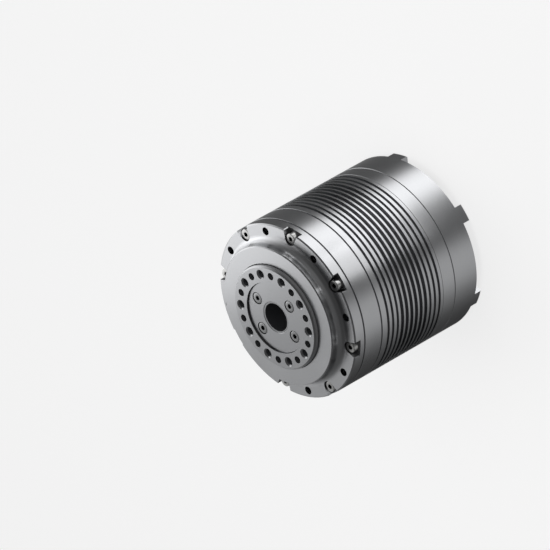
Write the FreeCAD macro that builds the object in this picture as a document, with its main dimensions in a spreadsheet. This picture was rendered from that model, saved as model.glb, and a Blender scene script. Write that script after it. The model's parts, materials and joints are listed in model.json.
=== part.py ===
import FreeCAD, Part
import math
import os
import types

import Sketcher

# Hollow-shaft joint actuator, standing on its six rear feet, output flange up (+Z).
# Millimetres. Z = 0 is the foot tips, the Z axis is the axis of rotation.

SIZES = {
    # lengths of the visible bands, from the feet up
    "foot_len": 4.5, "cover_len": 14.9, "brake_len": 8.2, "motor_len": 41.8,
    "gear_len": 11.7, "flange_len": 6.9, "boss_len": 6.25, "disc_rise": 2.25,
    # outside
    "housing_wall": 5.5, "boss_wall": 2.45, "seam_cut": 0.3, "seam_edge": 0.12,
    "seam_wide": 0.7, "seam_deep": 0.7, "front_cut": 0.6, "cove_r": 3.6,
    "boss_cut": 0.5, "groove_pitch": 3.19, "groove_first": 2.6, "groove_narrow": 1.5,
    "groove_wide": 2.1, "groove_shallow": 1.2, "groove_deep": 2.0,
    "foot_wall": 5.0, "foot_width": 8.6, "foot_cut": 0.6,
    # screws: M3 socket head, M2.5 socket head
    "screw_r": 1.5, "head_r": 2.75, "head_len": 3.0, "hex_flat": 2.5, "hex_deep": 1.3,
    "clear_gap": 0.1, "small_screw_r": 1.25, "small_head_r": 2.25, "small_head_len": 2.0,
    # flange: screw circles are given by their distance from the outside
    "flange_screw_in": 3.8, "pocket_r": 3.15, "pocket_mouth": 8.1, "pocket_round": 1.3,
    "pocket_deep": 3.6,
    "flange_screw_len": 20.0, "link_hole_r": 2.05, "link_hole_deep": 5.8,
    "rear_screw_in": 3.4, "rear_pocket_r": 3.0, "rear_pocket_deep": 3.5, "rear_screw_len": 25.0,
    # output
    "cap_wide": 10.2, "cap_gap": 0.1, "cap_sink": 0.95, "cap_cut": 0.2, "cap_screw_in": 5.3,
    "cap_pocket_r": 3.13, "cap_head_sink": 0.2, "cap_screw_len": 5.0, "recess_deep": 5.3,
    "plate_len": 10.0, "out_hole_in": 4.1, "out_hole_rim": 4.35, "out_hole_r": 1.85,
    "out_hole_cut": 0.65, "out_hole_deep": 6.5, "disc_over": 1.35, "disc_cut": 0.8,
    "lip_gap": 0.35, "lip_len": 1.3, "seal_wide": 4.15, "skirt_wall": 3.0,
    # crossed-roller bearing
    "cross_in_wall": 3.9, "cross_out_wall": 4.0, "cross_len": 11.0, "cross_pilot": 0.7,
    "cross_slit": 0.3, "roller_r": 1.8, "roller_len": 3.4, "roller_gap": 0.04,
    "lock_wide": 2.8, "lock_len": 2.6, "lock_gap": 1.0,
    # hollow tube
    "tube_bore_r": 7.3, "tube_wall": 1.2, "neck_wall": 0.8, "tube_flange_wide": 2.1,
    "tube_flange_len": 1.5, "tube_sink": 0.2, "tube_tail": 0.5, "bush_wide": 1.5, "bush_len": 4.0,
    # strain-wave gear
    "spline_wide": 12.5, "spline_len": 7.2, "tooth_high": 0.55, "flex_wall": 0.65,
    "mesh_gap": 0.3, "flex_tooth_len": 6.4, "flex_start": 0.9, "flex_face": 0.8,
    "flex_lift": 0.4, "flex_boss_len": 2.4, "clamp_len": 1.6, "clamp_gap": 2.5,
    "clamp_screw_in": 3.6, "clamp_screw_rim": 3.4, "clamp_screw_len": 6.0, "plug_wall": 2.84,
    "wave_len": 6.0, "wave_lift": 0.43, "wave_gap": 0.06, "race_wall": 1.0, "wave_ball_r": 1.45,
    "spacer_wall": 2.1, "ring_len": 0.9, "ring_reach": 2.3, "ring_groove": 0.6,
    "shaft_tail": 0.6,
    # rotor shaft and its ball bearings
    "shaft_gap": 0.8, "shaft_wall": 3.2, "shoulder_step": 1.3, "bearing_wide": 6.0,
    "ball_len": 7.0, "ball_r": 1.75, "land_wall": 1.9, "ball_lip": 1.7, "ball_lip_len": 1.0,
    "bulkhead_len": 9.8, "clip_len": 1.1, "clip_deep": 0.8, "clip_wide": 2.4,
    # motor
    "hub_wall": 2.4, "web_wide": 4.3, "web_len": 4.0, "web_hole_r": 1.5, "rotor_wall": 2.6,
    "magnet_wall": 2.2, "rotor_len": 19.0, "rotor_start": 6.9, "motor_gap": 0.6,
    "slot_lip": 1.5, "slot_long": 8.4, "slot_mouth": 2.2, "yoke_wall": 3.7,
    "stator_len": 21.0, "stator_start": 5.9, "tooth_width": 5.0, "coil_wide": 2.8,
    "coil_inset": 0.6, "coil_root_gap": 1.0, "coil_over": 2.9,
    # brake ring and brake
    "brake_web": 3.0, "brake_seat": 0.5, "brake_hub_wall": 3.0, "brake_gap": 1.0,
    "pole_wall": 2.8, "winding_wide": 5.0, "shell_wall": 3.1, "coil_body_len": 4.5,
    "coil_deep": 3.2, "armature_len": 1.0, "air_gap": 0.3, "brake_disc_len": 1.5,
    "disc_edge_in": 1.2, "nave_wall": 3.3, "brake_plate_len": 1.1, "plate_gap": 2.7,
    "brake_pillar_r": 2.1, "pillar_gap": 0.4, "rim_gap": 0.5, "lead_hole_r": 1.9,
    "lead_hole_in": 2.8, "spring_r": 0.9, "spring_deep": 3.0, "code_disc_len": 1.2,
    "code_wide": 9.0, "nut_len": 1.9, "nut_wall": 1.8,
    # rear cover, boards and connectors
    "end_wall": 2.5, "bush_wall": 3.0, "board_rise": 4.2, "board_len": 1.6, "board_gap": 6.7,
    "board_rim_gap": 0.9, "pillar_r": 2.5, "pillar_in": 3.4, "can_r": 3.2, "can_len": 3.6,
    "can_in": 6.4, "chip_len": 1.2, "out_code_wide": 10.5, "out_code_len": 1.0,
    "out_code_lift": 0.7, "read_gap": 0.3, "read_width": 5.0, "plug_wide": 13.0,
    "plug_deep": 7.0, "plug_in": 8.0, "plug_out": 1.2, "plug_mouth": 3.0,
}

# Radii, built up from the hollow bore outwards so that each wall and gap keeps its own size.
RADII = {
    "tube_r": "tube_bore_r + tube_wall", "tube_neck_r": "tube_bore_r + neck_wall",
    "tube_flange_r": "tube_r + tube_flange_wide", "bush_r": "tube_r + bush_wide",
    # rotor shaft and what sits on it
    "shaft_bore_r": "tube_r + shaft_gap", "shaft_r": "shaft_bore_r + shaft_wall",
    "shoulder_r": "shaft_r + shoulder_step", "ball_ring_r": "shaft_r + bearing_wide",
    "land_r": "shaft_r + land_wall", "spacer_r": "shaft_r + spacer_wall",
    "ring_r": "shaft_r + ring_reach", "code_disc_r": "shaft_r + code_wide",
    # hub cap, output flange, crossed-roller bearing
    "cap_r": "tube_neck_r + cap_wide", "cap_pcd_r": "tube_neck_r + cap_screw_in",
    "recess_r": "cap_r + cap_gap", "out_pcd_r": "recess_r + out_hole_in",
    "disc_r": "out_pcd_r + out_hole_rim", "seal_r": "disc_r + seal_wide",
    "skirt_r": "disc_r - disc_over", "lock_r": "skirt_r + lock_wide",
    "cross_pitch_r": "skirt_r + cross_in_wall", "cross_outer_r": "cross_pitch_r + cross_out_wall",
    "boss_r": "cross_outer_r + boss_wall",
    # strain-wave gear: plug, flexible bearing, cup wall, teeth
    "clamp_in_r": "tube_r + clamp_gap", "clamp_pcd_r": "clamp_in_r + clamp_screw_in",
    "flex_boss_r": "clamp_pcd_r + clamp_screw_rim",
    "wave_r": "shaft_r + plug_wall + race_wall * 2 + wave_ball_r * 2",
    "flex_tip_r": "wave_r + wave_gap + flex_wall + tooth_high",
    "spline_outer_r": "flex_tip_r + spline_wide",
    # motor and housing
    "hub_r": "shoulder_r + hub_wall", "web_hole_pcd_r": "hub_r + web_wide / 2",
    "rim_in_r": "hub_r + web_wide", "rim_out_r": "rim_in_r + rotor_wall",
    "magnet_r": "rim_out_r + magnet_wall", "stator_bore_r": "magnet_r + motor_gap",
    "slot_lip_r": "stator_bore_r + slot_lip", "slot_root_r": "slot_lip_r + slot_long",
    "coil_start_r": "slot_lip_r + coil_inset", "coil_end_r": "slot_root_r - coil_root_gap",
    "stator_r": "slot_root_r + yoke_wall", "body_r": "stator_r + housing_wall",
    "flange_pcd_r": "body_r - flange_screw_in", "rear_pcd_r": "body_r - rear_screw_in",
    # brake
    "coil_body_in": "ball_ring_r + brake_hub_wall + brake_gap",
    "coil_in_r": "coil_body_in + pole_wall", "coil_out_r": "coil_in_r + winding_wide",
    "coil_body_r": "coil_out_r + shell_wall", "spring_pcd_r": "coil_body_in + pole_wall / 2",
    "brake_disc_r": "coil_body_r - disc_edge_in", "brake_nave_r": "shaft_r + nave_wall",
    "brake_plate_in": "brake_nave_r + plate_gap", "lead_hole_pcd_r": "coil_body_r + lead_hole_in",
    "brake_pillar_pcd": "coil_body_r + pillar_gap + brake_pillar_r",
    "rim_r": "brake_pillar_pcd + brake_pillar_r + rim_gap",
    # boards
    "board_in_r": "tube_r + board_gap", "board_r": "rim_r - board_rim_gap",
    "pillar_pcd_r": "board_r - pillar_in", "can_pcd_r": "board_r - can_in",
    "out_code_r": "tube_r + out_code_wide", "plug_pcd_r": "out_code_r + plug_in",
}

CAP_ANGLES = (24.5, 96.5)  # the other two screws of the hub cap lie opposite
FLEX_TEETH = 100
SPLINE_TEETH = 102


class Size:
    """A length that knows its number and the spreadsheet expression it comes from."""

    def __init__(self, value, text):
        self.value = value
        self.text = text

    def _join(self, sign, other, value):
        text = other.text if isinstance(other, Size) else repr(other)
        return Size(value, f"({self.text} {sign} {text})")

    def __add__(self, other):
        return self._join("+", other, self.value + number(other))

    def __sub__(self, other):
        return self._join("-", other, self.value - number(other))

    def __mul__(self, factor):
        return self._join("*", factor, self.value * number(factor))

    def __truediv__(self, factor):
        return self._join("/", factor, self.value / number(factor))

    def cosine(self):
        return Size(math.cos(math.radians(self.value)), f"cos({self.text} * 1 deg)")

    def sine(self):
        return Size(math.sin(math.radians(self.value)), f"sin({self.text} * 1 deg)")


def half_gap_angle():
    """Half the angle between two feet, in degrees, as a Size."""
    return Size(30.0 - math.degrees(number(d.foot_width) / 2 / number(d.body_r)),
                "(30 - Sizes.foot_width / 2 / Sizes.body_r * 180 / pi)")


def number(size):
    return size.value if isinstance(size, Size) else size


doc = FreeCAD.newDocument("JointActuator")
sheet = doc.addObject("Spreadsheet::Sheet", "Sizes")
rows = [(name, repr(value)) for name, value in SIZES.items()]
rows += [(name, "=" + formula) for name, formula in RADII.items()]
for row, (name, text) in enumerate(rows, 1):
    sheet.set(f"A{row}", name)
    sheet.set(f"B{row}", text)
    sheet.setAlias(f"B{row}", name)
doc.recompute()
d = types.SimpleNamespace(**{name: Size(float(sheet.get(name)), f"Sizes.{name}")
                             for name, text in rows})

# levels of the seams between the visible bands
z_rim = d.foot_len
z_brake = z_rim + d.cover_len
z_motor = z_brake + d.brake_len
z_gear = z_motor + d.motor_len
z_flange = z_gear + d.gear_len
z_face = z_flange + d.flange_len
z_boss = z_face + d.boss_len
z_out = z_boss + d.disc_rise
# levels inside
z_plate = z_out - d.plate_len
z_recess = z_out - d.recess_deep
z_cap = z_out - d.cap_sink
z_cross = z_flange - d.cross_pilot
z_cross_top = z_cross + d.cross_len
z_spline_top = z_gear + d.spline_len
z_clamp = z_plate - d.flex_boss_len - d.clamp_len
z_bulkhead = z_gear - d.bulkhead_len
z_front_ball = z_bulkhead + d.ball_lip_len
z_front_ball_top = z_front_ball + d.ball_len
z_rear_ball = z_brake + d.brake_seat
z_rear_ball_top = z_rear_ball + d.ball_len
z_wave = z_gear + d.flex_start
z_wave_top = z_wave + d.wave_len
z_web = z_motor - d.brake_web
z_coil_body = z_web - d.coil_body_len
z_armature = z_coil_body - d.air_gap - d.armature_len
z_brake_disc = z_armature - d.air_gap - d.brake_disc_len
z_brake_plate = z_brake_disc - d.air_gap - d.brake_plate_len
z_floor = z_rim + d.end_wall
z_board = z_floor + d.board_rise
z_board_top = z_board + d.board_len
z_read = z_board_top + d.chip_len
z_code = z_read + d.read_gap
z_code_top = z_code + d.code_disc_len
z_stator = z_motor + d.stator_start
z_stator_top = z_stator + d.stator_len
z_rotor = z_motor + d.rotor_start
z_rotor_top = z_rotor + d.rotor_len


def part_body(label):
    body = doc.addObject("PartDesign::Body", "Body_" + label)
    body.Label = label
    body.AllowCompound = True
    return body


def datum(body, role):
    return next(f for f in body.Origin.OriginFeatures if f.Role == role)


def pin_point(sketch, geometry, vertex, x, y):
    """Holds a vertex at x, y from the sketch's origin, both bound to the spreadsheet."""
    for kind, size in (("DistanceX", x), ("DistanceY", y)):
        index = sketch.addConstraint(
            Sketcher.Constraint(kind, -1, 1, geometry, vertex, number(size)))
        if isinstance(size, Size):
            sketch.setExpression(f"Constraints[{index}]", size.text)


def outline(sketch, points):
    """A closed outline of straight edges through points, each bound to the spreadsheet."""
    first = sketch.GeometryCount
    count = len(points)
    for i, (x, y) in enumerate(points):
        nx, ny = points[(i + 1) % count]
        sketch.addGeometry(Part.LineSegment(
            FreeCAD.Vector(number(x), number(y), 0),
            FreeCAD.Vector(number(nx), number(ny), 0)), False)
    for i, (x, y) in enumerate(points):
        sketch.addConstraint(Sketcher.Constraint(
            "Coincident", first + i, 2, first + (i + 1) % count, 1))
        pin_point(sketch, first + i, 1, x, y)


def circle(sketch, x, y, radius):
    index = sketch.addGeometry(Part.Circle(
        FreeCAD.Vector(number(x), number(y), 0), FreeCAD.Vector(0, 0, 1), number(radius)), False)
    pin_point(sketch, index, 3, x, y)
    held = sketch.addConstraint(Sketcher.Constraint("Radius", index, number(radius)))
    if isinstance(radius, Size):
        sketch.setExpression(f"Constraints[{held}]", radius.text)


def section_sketch(body, name):
    """A sketch in the plane through the axis: x is the radius, y is the height."""
    sketch = body.newObject("Sketcher::SketchObject", name)
    sketch.AttachmentSupport = [(datum(body, "XZ_Plane"), "")]
    sketch.MapMode = "FlatFace"
    return sketch


def level_sketch(body, name, level, turn=0.0):
    """A sketch in the plane across the axis at a level, turned about the axis in degrees."""
    sketch = body.newObject("Sketcher::SketchObject", name)
    sketch.AttachmentSupport = [(datum(body, "XY_Plane"), "")]
    sketch.MapMode = "FlatFace"
    sketch.AttachmentOffset = FreeCAD.Placement(
        FreeCAD.Vector(0, 0, number(level)), FreeCAD.Rotation(FreeCAD.Vector(0, 0, 1), turn))
    if isinstance(level, Size):
        sketch.setExpression("AttachmentOffset.Base.z", level.text)
    return sketch


def revolve(body, name, points, cut=False):
    sketch = section_sketch(body, name + "_profile")
    outline(sketch, points)
    kind = "PartDesign::Groove" if cut else "PartDesign::Revolution"
    feature = body.newObject(kind, name)
    feature.Profile = sketch
    feature.ReferenceAxis = (sketch, ["V_Axis"])
    feature.Angle = 360
    body.Tip = feature
    return feature


def ring(body, name, inner, outer, low, high):
    """A plain ring between two radii and two levels."""
    return revolve(body, name, [(inner, low), (outer, low), (outer, high), (inner, high)])


def extrude(body, sketch, name, length, cut=False):
    """Pads a level sketch upwards, or pockets it downwards."""
    feature = body.newObject("PartDesign::Pocket" if cut else "PartDesign::Pad", name)
    feature.Profile = sketch
    feature.Length = number(length)
    if isinstance(length, Size):
        feature.setExpression("Length", length.text)
    body.Tip = feature
    return feature


def polar(body, name, features, count):
    pattern = body.newObject("PartDesign::PolarPattern", name)
    pattern.Originals = features
    pattern.Axis = (datum(body, "Z_Axis"), [""])
    pattern.Angle = 360
    pattern.Occurrences = count
    body.Tip = pattern
    return pattern


def hole_circle(body, name, radius, pitch_r, top, depth, count, turn=0.0):
    """Holes of one radius, drilled down from a level, evenly spaced on a circle."""
    sketch = level_sketch(body, name + "_sketch", top, turn)
    circle(sketch, pitch_r, 0.0, radius)
    hole = extrude(body, sketch, name, depth, cut=True)
    return polar(body, name + "_pattern", [hole], count)


def peg_circle(body, name, radius, pitch_r, low, length, count, turn=0.0):
    """Upright round pegs, evenly spaced on a circle, each a separate solid or joined on."""
    sketch = level_sketch(body, name + "_sketch", low, turn)
    circle(sketch, pitch_r, 0.0, radius)
    peg = extrude(body, sketch, name, length)
    return polar(body, name + "_pattern", [peg], count)


def ring_edges(body, places):
    """Names of the round edges about the axis at the given (radius, level) places."""
    names = []
    shape = body.Tip.Shape
    for radius, level in places:
        for i, edge in enumerate(shape.Edges, 1):
            curve = edge.Curve
            if (isinstance(curve, Part.Circle) and abs(curve.Radius - number(radius)) < 1e-4
                    and abs(curve.Center.z - number(level)) < 1e-4
                    and math.hypot(curve.Center.x, curve.Center.y) < 1e-4):
                names.append(f"Edge{i}")
    if len(names) < len(places):
        raise RuntimeError(f"{body.Label}: edge not found for a fillet or chamfer")
    return names


def dress(body, name, places, size, kind="Chamfer"):
    """A chamfer or fillet on round edges, its size bound to the spreadsheet."""
    doc.recompute()
    base, edges = body.Tip, ring_edges(body, places)
    feature = body.newObject("PartDesign::" + kind, name)
    feature.Base = (base, edges)
    prop = "Size" if kind == "Chamfer" else "Radius"
    setattr(feature, prop, number(size))
    feature.setExpression(prop, size.text)
    body.Tip = feature
    return feature


def screw_set(label, seat, points, radius, head_r, head_len, length, count, up=True,
              socket=True, turn=0.0):
    """Socket-head screws standing on a seat level, heads up or down, as separate solids."""
    body = part_body(label)
    shank_low = seat - length if up else seat
    head_low = seat if up else seat - head_len
    made = []
    for name, r, low, tall in (("shank", radius, shank_low, length),
                               ("head", head_r, head_low, head_len)):
        sketch = level_sketch(body, f"{label}_{name}_sketch", low, turn)
        for x, y in points:
            circle(sketch, x, y, r)
        made.append(extrude(body, sketch, f"{label}_{name}", tall))
    if socket:
        top = seat + head_len if up else seat - head_len + d.hex_deep
        sketch = level_sketch(body, f"{label}_socket_sketch", top, turn)
        corner = d.hex_flat / math.sqrt(3.0)
        for x, y in points:
            outline(sketch, [(corner * math.cos(math.radians(60 * k)) + x,
                              corner * math.sin(math.radians(60 * k)) + y) for k in range(6)])
        made.append(extrude(body, sketch, f"{label}_socket", d.hex_deep, cut=True))
    polar(body, f"{label}_pattern", made, count)
    return body


def front_flange():
    body = part_body("front_flange")
    mouth = d.disc_r + d.lip_gap
    lip = z_boss - d.lip_len
    seam = z_flange + d.seam_wide
    revolve(body, "flange_turned", [
        (d.cross_outer_r, z_flange), (d.body_r - d.seam_deep, z_flange),
        (d.body_r - d.seam_deep, seam), (d.body_r, seam), (d.body_r, z_face),
        (d.boss_r, z_face), (d.boss_r, z_boss), (mouth, z_boss), (mouth, lip),
        (d.seal_r, lip), (d.seal_r, z_cross_top), (d.cross_outer_r, z_cross_top)])
    dress(body, "flange_cove", [(d.boss_r, z_face)], d.cove_r, "Fillet")
    dress(body, "flange_edge", [(d.body_r, z_face)], d.front_cut)
    dress(body, "flange_seam", [(d.body_r, seam)], d.seam_edge)
    dress(body, "boss_edge", [(d.boss_r, z_boss)], d.boss_cut)
    # screw pockets, cut down through the cove and open to the rim, where their sides have
    # spread and their corners are rounded off in three flats
    top, deep = z_face + d.cove_r, d.pocket_deep + d.cove_r
    sketch = level_sketch(body, "pocket_bore_sketch", top)
    circle(sketch, d.flange_pcd_r, 0.0, d.pocket_r)
    bore = extrude(body, sketch, "pocket_bore", deep, cut=True)
    sketch = level_sketch(body, "pocket_mouth_sketch", top)
    half, bend = d.pocket_mouth / 2, d.pocket_round
    side = [(d.flange_pcd_r, d.pocket_r), (d.body_r - bend, half),
            (d.body_r - bend * 0.5, half + bend * 0.134),
            (d.body_r - bend * 0.134, half + bend * 0.5), (d.body_r, half + bend),
            (d.body_r + 2, half + bend)]
    outline(sketch, side + [(x, y * -1) for x, y in reversed(side)])
    notch = extrude(body, sketch, "pocket_mouth", deep, cut=True)
    polar(body, "pockets", [bore, notch], 8)
    hole_circle(body, "screw_hole", d.screw_r + d.clear_gap, d.flange_pcd_r,
                z_face - d.pocket_deep, d.flange_len, 8)
    hole_circle(body, "link_hole", d.link_hole_r, d.flange_pcd_r, top,
                d.link_hole_deep + d.cove_r, 8, 22.5)
    return body


def gear_housing():
    body = part_body("gear_housing")
    inner = d.lock_r + d.lock_gap
    seam = z_gear + d.seam_wide
    revolve(body, "gear_turned", [
        (d.spline_outer_r, z_gear), (d.body_r - d.seam_deep, z_gear),
        (d.body_r - d.seam_deep, seam), (d.body_r, seam), (d.body_r, z_flange),
        (d.cross_outer_r, z_flange), (d.cross_outer_r, z_cross), (inner, z_cross),
        (inner, z_spline_top), (d.spline_outer_r, z_spline_top)])
    dress(body, "gear_seams", [(d.body_r, seam), (d.body_r, z_flange)], d.seam_edge)
    hole_circle(body, "gear_screw_hole", d.screw_r + d.clear_gap, d.flange_pcd_r,
                z_flange, d.gear_len, 8)
    return body


def motor_housing():
    body = part_body("motor_housing")
    lip = d.ball_ring_r - d.ball_lip
    revolve(body, "motor_turned", [
        (d.stator_r, z_motor), (d.body_r, z_motor), (d.body_r, z_gear),
        (d.ball_ring_r, z_gear), (d.ball_ring_r, z_front_ball), (lip, z_front_ball),
        (lip, z_bulkhead), (d.stator_r, z_bulkhead)])
    dress(body, "motor_top_seam", [(d.body_r, z_gear)], d.seam_edge)
    dress(body, "motor_low_seam", [(d.body_r, z_motor)], d.seam_cut * 0.5)
    clip = z_front_ball_top
    revolve(body, "clip_groove", [
        (d.ball_ring_r - 0.5, clip), (d.ball_ring_r + d.clip_deep, clip),
        (d.ball_ring_r + d.clip_deep, clip + d.clip_len), (d.ball_ring_r - 0.5, clip + d.clip_len)],
        cut=True)
    # twelve cooling grooves: three narrow, six wide and deep, three narrow
    for name, at, count, width, deep in (
            ("low", 0, 3, d.groove_narrow, d.groove_shallow),
            ("middle", 3, 6, d.groove_wide, d.groove_deep),
            ("high", 9, 3, d.groove_narrow, d.groove_shallow)):
        centre = z_motor + d.groove_first + d.groove_pitch * at
        low, high = centre - width / 2, centre + width / 2
        groove = revolve(body, f"cooling_{name}", [
            (d.body_r - deep, low), (d.body_r + 1, low), (d.body_r + 1, high),
            (d.body_r - deep, high)], cut=True)
        row = body.newObject("PartDesign::LinearPattern", f"cooling_{name}_row")
        row.Originals = [groove]
        row.Direction = (datum(body, "Z_Axis"), [""])
        row.Length = number(d.groove_pitch) * (count - 1)
        row.setExpression("Length", (d.groove_pitch * (count - 1)).text)
        row.Occurrences = count
        body.Tip = row
    grip = d.flange_screw_len - (d.flange_len - d.pocket_deep) - d.gear_len
    hole_circle(body, "motor_front_tap", d.screw_r, d.flange_pcd_r, z_gear, grip + 1, 8)
    sketch = level_sketch(body, "motor_rear_tap_sketch", z_motor)
    circle(sketch, d.rear_pcd_r, 0.0, d.screw_r)
    rear_grip = d.rear_screw_len - (d.cover_len - d.rear_pocket_deep) - d.brake_len
    tap = extrude(body, sketch, "motor_rear_tap", rear_grip + 1, cut=True)
    tap.Reversed = True
    polar(body, "motor_rear_taps", [tap], 6)
    return body


def brake_housing():
    body = part_body("brake_housing")
    rim = d.rim_r
    lip = d.ball_ring_r - d.ball_lip
    hub = d.ball_ring_r + d.brake_hub_wall
    revolve(body, "brake_turned", [
        (rim, z_brake), (d.body_r, z_brake), (d.body_r, z_motor), (lip, z_motor),
        (lip, z_rear_ball_top), (d.ball_ring_r, z_rear_ball_top), (d.ball_ring_r, z_rear_ball),
        (hub, z_rear_ball), (hub, z_web), (rim, z_web)])
    dress(body, "brake_seams", [(d.body_r, z_brake)], d.seam_cut)
    dress(body, "brake_top_seam", [(d.body_r, z_motor)], d.seam_cut * 0.5)
    hole_circle(body, "brake_screw_hole", d.screw_r + d.clear_gap, d.rear_pcd_r, z_motor,
                d.brake_len, 6)
    hole_circle(body, "lead_hole", d.lead_hole_r, d.lead_hole_pcd_r, z_motor, d.brake_web, 3, 60)
    hole_circle(body, "pillar_tap", d.small_screw_r, d.brake_pillar_pcd, z_motor - 0.6,
                d.brake_web, 3, 30)
    return body


def rear_cover():
    body = part_body("rear_cover")
    rim = d.rim_r
    bush_top = z_rim + d.bush_len
    inner = d.body_r - d.foot_wall
    revolve(body, "cover_turned", [
        (d.bush_r, z_rim), (inner, z_rim), (inner, 0.0), (d.body_r, 0.0), (d.body_r, z_brake),
        (rim, z_brake), (rim, z_floor), (d.bush_r + d.bush_wall, z_floor),
        (d.bush_r + d.bush_wall, bush_top), (d.bush_r, bush_top)])
    dress(body, "cover_seam", [(d.body_r, z_brake)], d.seam_cut)
    dress(body, "foot_edges", [(d.body_r, 0.0), (inner, 0.0)], d.foot_cut)
    # the six feet are what is left of the lower rim between six wide gaps
    half = half_gap_angle()
    ca, sa = half.cosine(), half.sine()
    near, far = inner - 2, d.body_r + 8
    sketch = level_sketch(body, "foot_gap_sketch", z_rim)
    outline(sketch, [(near * ca, near * sa * -1), (far * ca, far * sa * -1), (far * ca, far * sa),
                     (near * ca, near * sa)])
    gap = extrude(body, sketch, "foot_gap", z_rim + 1, cut=True)
    polar(body, "foot_gaps", [gap], 6)
    hole_circle(body, "rear_pocket", d.rear_pocket_r, d.rear_pcd_r, z_rim + d.rear_pocket_deep,
                d.rear_pocket_deep + 1, 6)
    hole_circle(body, "cover_screw_hole", d.screw_r + d.clear_gap, d.rear_pcd_r, z_brake,
                d.cover_len, 6)
    hole_circle(body, "pillar_foot", d.small_screw_r, d.pillar_pcd_r, z_floor + 0.1, 1.9, 3, 90)
    sketch = level_sketch(body, "plug_window_sketch", z_floor)
    wide, deep = d.plug_wide / 2 + 0.4, d.plug_deep / 2 + 0.4
    for side in (1, -1):
        x = d.plug_pcd_r * side
        outline(sketch, [(x - deep, wide * -1), (x + deep, wide * -1), (x + deep, wide),
                         (x - deep, wide)])
    extrude(body, sketch, "plug_windows", d.end_wall, cut=True)
    return body


def output_flange():
    body = part_body("output_flange")
    skirt_in = d.skirt_r - d.skirt_wall
    skirt_low = z_cross - d.lock_len
    revolve(body, "output_turned", [
        (d.tube_r, z_plate), (skirt_in, z_plate), (skirt_in, skirt_low), (d.skirt_r, skirt_low),
        (d.skirt_r, z_cross_top), (d.disc_r, z_cross_top), (d.disc_r, z_out),
        (d.recess_r, z_out), (d.recess_r, z_recess), (d.tube_flange_r, z_recess),
        (d.tube_flange_r, z_recess - d.tube_flange_len), (d.tube_r, z_recess - d.tube_flange_len)])
    dress(body, "disc_edge", [(d.disc_r, z_out)], d.disc_cut)
    hole_circle(body, "big_hole", d.out_hole_r, d.out_pcd_r, z_out, d.out_hole_deep, 10, 18)
    # every second hole has a countersunk mouth
    doc.recompute()
    names = []
    for i, edge in enumerate(body.Tip.Shape.Edges, 1):
        curve = edge.Curve
        if (isinstance(curve, Part.Circle) and abs(curve.Radius - number(d.out_hole_r)) < 1e-4
                and abs(curve.Center.z - number(z_out)) < 1e-4):
            names.append(f"Edge{i}")
    base = body.Tip
    mouth = body.newObject("PartDesign::Chamfer", "big_mouths")
    mouth.Base = (base, names)
    mouth.Size = number(d.out_hole_cut)
    mouth.setExpression("Size", d.out_hole_cut.text)
    body.Tip = mouth
    hole_circle(body, "small_hole", d.out_hole_r, d.out_pcd_r, z_out, d.out_hole_deep, 10)
    for turn in CAP_ANGLES:
        hole_circle(body, f"cap_tap_{int(turn)}", d.screw_r, d.cap_pcd_r, z_recess,
                    d.cap_screw_len - (z_cap_seat() - z_recess) + 0.5, 2, turn)
    hole_circle(body, "clamp_tap", d.screw_r, d.clamp_pcd_r, z_plate + clamp_grip() + 0.5,
                clamp_grip() + 0.5, 6, 0)
    return body


def z_cap_seat():
    return z_cap - d.cap_head_sink - d.head_len


def clamp_grip():
    return d.clamp_screw_len - d.clamp_len - d.flex_boss_len


def hub_cap():
    body = part_body("hub_cap")
    revolve(body, "cap_turned", [
        (d.tube_neck_r, z_recess), (d.cap_r, z_recess), (d.cap_r, z_cap), (d.tube_neck_r, z_cap)])
    dress(body, "cap_edges", [(d.cap_r, z_cap), (d.tube_neck_r, z_cap)], d.cap_cut)
    for turn in CAP_ANGLES:
        hole_circle(body, f"cap_pocket_{int(turn)}", d.cap_pocket_r, d.cap_pcd_r, z_cap,
                    d.cap_head_sink + d.head_len, 2, turn)
        hole_circle(body, f"cap_hole_{int(turn)}", d.screw_r + d.clear_gap, d.cap_pcd_r,
                    z_cap_seat(), z_cap_seat() - z_recess, 2, turn)
    return body


def hollow_tube():
    body = part_body("hollow_tube")
    low = d.foot_len - d.tube_tail
    top = z_cap - d.tube_sink
    flange_low = z_recess - d.tube_flange_len
    revolve(body, "tube_turned", [
        (d.tube_bore_r, low), (d.tube_r, low), (d.tube_r, flange_low),
        (d.tube_flange_r, flange_low), (d.tube_flange_r, z_recess), (d.tube_neck_r, z_recess),
        (d.tube_neck_r, top), (d.tube_bore_r, top)])
    return body


def cross_bearing():
    """Two outer rings, one inner ring with a square raceway set on its corner, and rollers."""
    mid = z_cross + d.cross_len / 2
    slit = d.cross_slit / 2
    # half the diagonal of the square raceway
    corner = (d.roller_r + d.roller_gap) * math.sqrt(2.0)
    for label, low, high, sign in (("cross_bearing_outer_lower", z_cross, mid, -1),
                                   ("cross_bearing_outer_upper", mid, z_cross_top, 1)):
        body = part_body(label)
        race_in = d.cross_pitch_r + slit
        far = mid + (corner - slit) * sign
        flat = low if sign < 0 else high
        revolve(body, label + "_turned", [
            (race_in, flat), (d.cross_outer_r, flat), (d.cross_outer_r, mid),
            (d.cross_pitch_r + corner, mid), (race_in, far)])
    body = part_body("cross_bearing_inner")
    race_out = d.cross_pitch_r - slit
    revolve(body, "cross_inner_turned", [
        (d.skirt_r, z_cross), (race_out, z_cross), (race_out, mid - corner + slit),
        (d.cross_pitch_r - corner, mid), (race_out, mid + corner - slit),
        (race_out, z_cross_top), (d.skirt_r, z_cross_top)])
    return mid


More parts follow.
